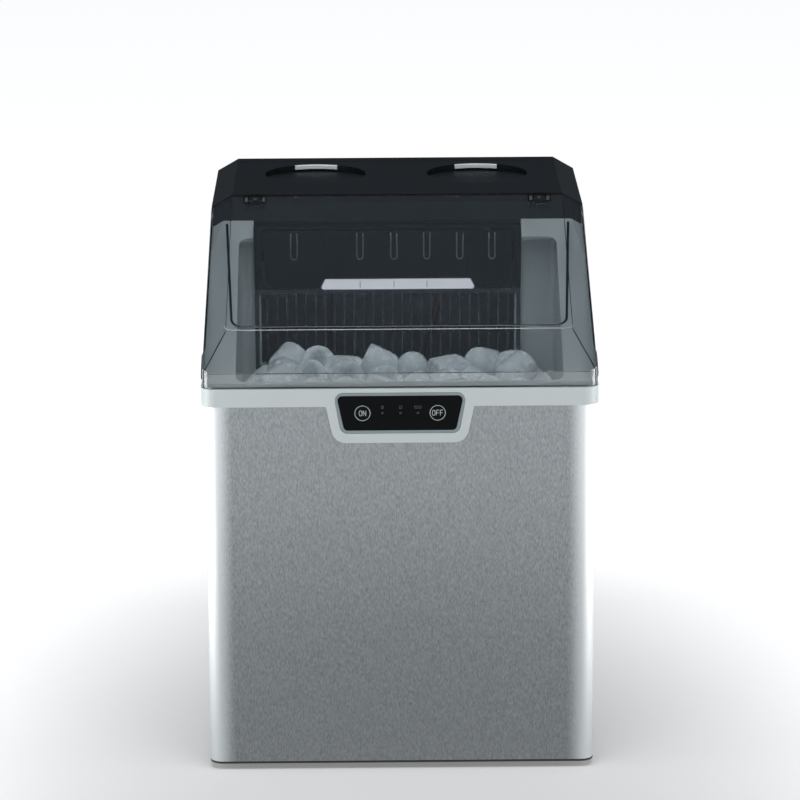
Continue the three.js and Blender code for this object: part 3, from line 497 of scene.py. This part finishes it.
def lid_plane():
    """A point on the lid's upper panel, its up-slope direction and its normal, from the lid's own mesh."""
    best = None
    for polygon in nodes["front_lid"].data.polygons:
        n = polygon.normal
        if n.y < 0 and abs(n.x) < 0.01 and abs(n.z - math.cos(math.radians(PANEL_SLOPE))) < 0.02:
            if best is None or polygon.area > best.area:
                best = polygon
    up = X.cross(best.normal).normalized()
    return best.center.copy(), (up if up.y > 0 else -up), best.normal.copy()


def emboss():
    """The line embossed round the lid's upper panel, drawn dark as painted shade, and a painted highlight along
    its crease.
    """
    origin, up, normal = lid_plane()
    crease_y = LID_LOW.y + CREASE_BACK
    start = origin + up * ((crease_y - origin.y) / up.y)
    start.x = 0
    radius = LINE["corner"]
    left, right = [], []
    for side, half in ((-1, left), (1, right)):
        half.append(start + X * (side * LINE["high"]) + up * LINE["reach"])
        bend = start + X * (side * (LINE["low"] - radius)) + up * (LINE["foot"] + radius)
        for i in range(11):
            turn = math.radians(9 * i)
            half.append(bend + X * (side * radius * math.cos(turn)) - up * (radius * math.sin(turn)))
    lift = normal * MARK_LIFT
    path = [p + lift for p in left + right[::-1]]
    verts, faces = swept(path, normal, LINE["width"] / 2, LINE["rise"])
    piece("lid_embossed_line", verts, faces, LID_SHADE, "lid")
    left = [start - X * x + up * rise + lift for x, rise in CREASE["ends"]]
    right = [start + X * x + up * rise + lift for x, rise in reversed(CREASE["ends"])]
    verts, faces = swept(left + right, normal, CREASE["width"] / 2, CREASE["rise"])
    piece("lid_crease_highlight", verts, faces, PAINTED_CREASE_HIGHLIGHT, "lid")


emboss()


def mirrored(point, side):
    """A point (x, y, z) on the right, or its mirror image on the left."""
    x, y, z = point
    return Vector((side * x, y, z))


def lid_outline():
    """Dark lines along the clear lid's cut edges, painted shade for how those edges look through the tinted
    plastic: its sloping side edges, and the lower edge of its skirt.
    """
    inset, back, height = LID_CORNER
    corner = (LID_HIGH.x - inset, LID_LOW.y + back, height)
    for name, side in SIDES:
        path = [mirrored(p, side) for p in (*LID_SIDE, corner, LID_CREST)]
        verts, faces = swept(path, mirrored(LID_EDGE["lean"], side), LID_EDGE["width"] / 2, LID_EDGE["rise"])
        piece(f"lid_side_edge_{name}", verts, faces, LID_SHADE, "lid")
    ends = [Vector((side * LID_HEM["half"], LID_LOW.y, LID_LOW.z + LID_HEM["up"])) for side in (-1, 1)]
    verts, faces = swept(ends, FRONT, LID_HEM["width"] / 2, LID_EDGE["rise"])
    piece("lid_lower_edge", verts, faces, LID_SHADE, "lid")


lid_outline()


def sleeve(centre):
    """A thin open tube round the X axis: inner and outer arcs at each end, joined by four walls."""
    verts, faces = [], []
    for radius in SLEEVE["radii"]:
        for x in (-SLEEVE["half"], SLEEVE["half"]):
            verts += arc(centre + X * x, radius, SLEEVE["start"], SLEEVE["end"], SLEEVE["steps"], -Y, Z)
    row = SLEEVE["steps"] + 1
    for i in range(row - 1):
        for one, two in ((0, 1), (1, 3), (3, 2), (2, 0)):
            a, b = one * row + i, two * row + i
            faces.append((a, a + 1, b + 1, b))
    faces.append((0, row, 3 * row, 2 * row))
    faces.append((row - 1, 3 * row - 1, 4 * row - 1, 2 * row - 1))
    return verts, faces


def lid_furniture():
    """Black sleeves over the lid's hinge barrels, and dark pads in its side grips, painted shade for the clear
    grips' dark look seen edge on.
    """
    axis = middle("lid_hinge_pin_right")
    for name, side in SIDES:
        verts, faces = sleeve(mirrored(axis, side))
        piece(f"hinge_sleeve_{name}", verts, faces, LOOKS["black"], "lid")
        # painted shade: dark rubber-look strips where the clear grip tabs only look dark
        pad = [mirrored((GRIP["x"], y, z), side) for y, z in GRIP["ends"]]
        verts, faces = swept(pad, X * side, GRIP["width"] / 2, GRIP["rise"])
        piece(f"grip_painted_shade_{name}", verts, faces, LOOKS["rubber"], "lid")


lid_furniture()

# ---------------------------------------------------------------- ribs and grooves behind the lid

# painted highlight: a lighter grey that stands in for the gloss catching the light along each rib
RIB_HIGHLIGHT = moulded("rib_painted_highlight", (0.15, 0.16, 0.17), 0.25, grain=600.0, depth=0.00002)
# painted shade: a darker grey standing in for the shadow inside the guide bar's grooves
GROOVE_SHADE = moulded("guide_groove_painted_shade", (0.45, 0.46, 0.48), 0.4, grain=500.0, depth=0.00001)


def flap_ribs():
    """The rounded outline of each rib on the flap's face, in a lighter colour as a painted highlight. The inner
    ribs stand a little further back.
    """
    low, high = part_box("ice_flap")
    half, foot, top = RIB["half"], RIB["foot"], high.z - RIB["top"]
    for i, x in enumerate(RIB_X):
        outer = x in (RIB_X[0], RIB_X[-1])
        face = (low.y if outer else low.y + RIB["inner_step"]) + MARK_LIFT
        path = [Vector((x - half, face, top))]
        path += arc(Vector((x, face, foot)), half, 180, 360, 8, X, Z)
        path += [Vector((x + half, face, top))]
        verts, faces = swept(path, FRONT, RIB["line"] / 2, RIB["rise"])
        piece(f"flap_rib_{i + 1}", verts, faces, RIB_HIGHLIGHT, "flap")


flap_ribs()


def guide_grooves():
    """Darker upright lines on the guide bar's face, painted shade for its grooves, and its rounded lower rim.
    """
    low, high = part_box("guide_bar")
    for i, x in enumerate(GROOVE_X):
        ends = (low.z + GROOVE_LINE["margin"], high.z - GROOVE_LINE["margin"])
        points = [Vector((x, low.y, z)) for z in ends]
        verts, faces = swept(points, FRONT, GROOVE_LINE["width"] / 2, GROOVE_LINE["rise"])
        piece(f"guide_bar_groove_{i + 1}", verts, faces, GROOVE_SHADE, "root")
    # the rim takes the bar's look, painted glow and all
    ends = (low.x + BAR_RIM["inset"], high.x - BAR_RIM["inset"])
    rim = [Vector((x, low.y, low.z + BAR_RIM["up"])) for x in ends]
    verts, faces = swept(rim, FRONT, BAR_RIM["width"] / 2, BAR_RIM["rise"])
    piece("guide_bar_lower_rim", verts, faces, LOOKS["guide"], "root")


guide_grooves()

# ---------------------------------------------------------------- ice in the bin

ICE_SOCKETS = {
    "Transmission Weight": 0.2,
    "IOR": 1.31,
    # a faint emission: a painted glow, since the ice is no lamp
    "Emission Color": (0.8, 0.9, 1.0, 1),
    "Emission Strength": 0.05,
}


def ice_look():
    """Cloudy ice with a faint painted glow: pale drifts, patches of wet gloss and an uneven surface."""
    made = Nodes("bullet_ice", **ICE_SOCKETS)
    drift = made.ramp(made.noise(60.0), (0.66, 0.71, 0.72), (0.80, 0.84, 0.84))
    made.link(drift, made.shader.inputs["Base Color"])
    made.link(made.spread(made.noise(150.0), 0.12, 0.4), made.shader.inputs["Roughness"])
    made.bump(made.noise(90.0), 0.35, 0.0003)
    return made.material


def bullet(sides=20):
    """The mesh of one hollow bullet of ice, turned round Z from ICE_PROFILE."""
    verts, faces, rings = [], [], []
    for radius, z in ICE_PROFILE:
        count = sides if radius else 1
        rings.append(list(range(len(verts), len(verts) + count)))
        for i in range(count):
            angle = 2 * math.pi * i / sides
            verts.append(Vector((radius * math.cos(angle), radius * math.sin(angle), z)))
    for one, two in zip(rings, rings[1:]):
        for i in range(sides):
            n = (i + 1) % sides
            loop = [one[i % len(one)], two[i % len(two)], two[n % len(two)], one[n % len(one)]]
            faces.append(tuple(dict.fromkeys(loop)))
    mesh = bpy.data.meshes.new("ice_bullet")
    mesh.from_pydata(verts, [], faces)
    mesh.validate()
    mesh.shade_smooth()
    mesh.materials.append(ice_look())
    return mesh


def ice_heap():
    """Two layers of loose bullets in the bin, the upper one over the gaps of the lower."""
    rng = random.Random(7)
    mesh = bullet()
    left, right = LINER_LOW.x + ICE_MARGIN["side"], LINER_HIGH.x - ICE_MARGIN["side"]
    front, back = LINER_LOW.y + ICE_MARGIN["front"], LINER_HIGH.y - ICE_MARGIN["back"]
    columns, rows = int((right - left) / ICE_PITCH), int((back - front) / ICE_PITCH)
    number = 0
    for layer, (top, jitter) in enumerate(ICE_LAYERS):
        for i in range(columns + 1 - layer):
            for j in range(rows + 1 - layer):
                u, v = (i + 0.5 * layer) / columns, (j + 0.5 * layer) / rows
                swell = ICE_SWELL * math.sin(math.pi * u * 2.1 + 0.6) * math.sin(math.pi * v)
                number += 1
                o = bpy.data.objects.new(f"ice_{number:03d}", mesh)
                scene.collection.objects.link(o)
                o.location = (
                    left + (right - left) * u + rng.uniform(-ICE_STRAY, ICE_STRAY),
                    front + (back - front) * v + rng.uniform(-ICE_STRAY, ICE_STRAY),
                    top + swell + rng.uniform(-jitter, jitter) + 0.004 * v * layer,
                )
                o.rotation_euler = (rng.uniform(0.9, 2.2), rng.uniform(-0.5, 0.5), rng.uniform(0, 6.28))
                o.scale = (ICE_SIZE, ICE_SIZE, ICE_SIZE)
                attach(o, "root")


ice_heap()

# ---------------------------------------------------------------- floor, light and world


def floor_look():
    """Pale ground with a light of its own, dimmer and darker in an oval in front of the object: a painted
    shadow, which the steel also reflects.
    """
    made = Nodes("floor", Roughness=0.9)
    made.shader.inputs["Emission Color"].default_value = (1, 1, 1, 1)
    place = made.make("ShaderNodeTexCoord")
    mapping = made.make("ShaderNodeMapping", vector_type="TEXTURE")
    mapping.inputs["Location"].default_value = (*SHADOW_CENTRE, 0)
    mapping.inputs["Scale"].default_value = (SHADOW_WIDTH, 1, 1)
    made.link(place.outputs["Object"], mapping.inputs["Vector"])
    length = made.make("ShaderNodeVectorMath", operation="LENGTH")
    made.link(mapping.outputs["Vector"], length.inputs[0])
    glow = made.fade(length.outputs["Value"], *SHADOW_REACH, *FLOOR_GLOW)
    made.link(glow, made.shader.inputs["Emission Strength"])
    tone = made.fade(length.outputs["Value"], *SHADOW_REACH, *FLOOR_TONE)
    made.link(tone, made.shader.inputs["Base Color"])
    return made.material


def add_floor():
    mesh = bpy.data.meshes.new("floor")
    near, far = -FLOOR_SIZE, FLOOR_SIZE * 2
    corners = [(near, near, 0), (-near, near, 0), (-near, far, 0), (near, far, 0)]
    mesh.from_pydata(corners, [], [(0, 1, 2, 3)])
    mesh.materials.append(floor_look())
    o = bpy.data.objects.new("floor", mesh)
    scene.collection.objects.link(o)


def add_light(name, place, aim, size, power):
    """A rectangular softbox at place, turned to aim."""
    data = bpy.data.lights.new(name, "AREA")
    data.shape = "RECTANGLE"
    data.size, data.size_y = size
    data.energy = power
    o = bpy.data.objects.new(name, data)
    scene.collection.objects.link(o)
    o.location = place
    o.rotation_euler = (Vector(aim) - Vector(place)).to_track_quat("-Z", "Y").to_euler()


def add_world():
    """Faint cool light from above, and almost none from the sides."""
    world = bpy.data.worlds.new("studio")
    scene.world = world
    world.use_nodes = True
    tree = world.node_tree
    background = tree.nodes["Background"]
    background.inputs["Color"].default_value = (0.68, 0.83, 1.0, 1)
    place = tree.nodes.new("ShaderNodeTexCoord")
    split = tree.nodes.new("ShaderNodeSeparateXYZ")
    rise = tree.nodes.new("ShaderNodeMapRange")
    rise.inputs["From Min"].default_value = SKY_RISE[0]
    rise.inputs["From Max"].default_value = SKY_RISE[1]
    rise.inputs["To Min"].default_value = SKY_LOW
    rise.inputs["To Max"].default_value = SKY_HIGH
    tree.links.new(place.outputs["Generated"], split.inputs["Vector"])
    tree.links.new(split.outputs["Z"], rise.inputs["Value"])
    tree.links.new(rise.outputs["Result"], background.inputs["Strength"])


add_floor()
add_world()
add_light("key", (0.0, -1.1, 3.1), (0, 0, 0.4), (2.4, 1.5), 74)
add_light("fill", (0.0, -3.3, 0.7), (0, 0, 0.3), (2.6, 0.6), 5)
add_light("left", (-0.95, -0.36, 0.31), (0, -0.3, 0.3), (0.5, 0.6), 5.5)
add_light("right", (0.95, -0.36, 0.31), (0, -0.3, 0.3), (0.5, 0.6), 4.2)
scene.view_settings.view_transform = "Standard"
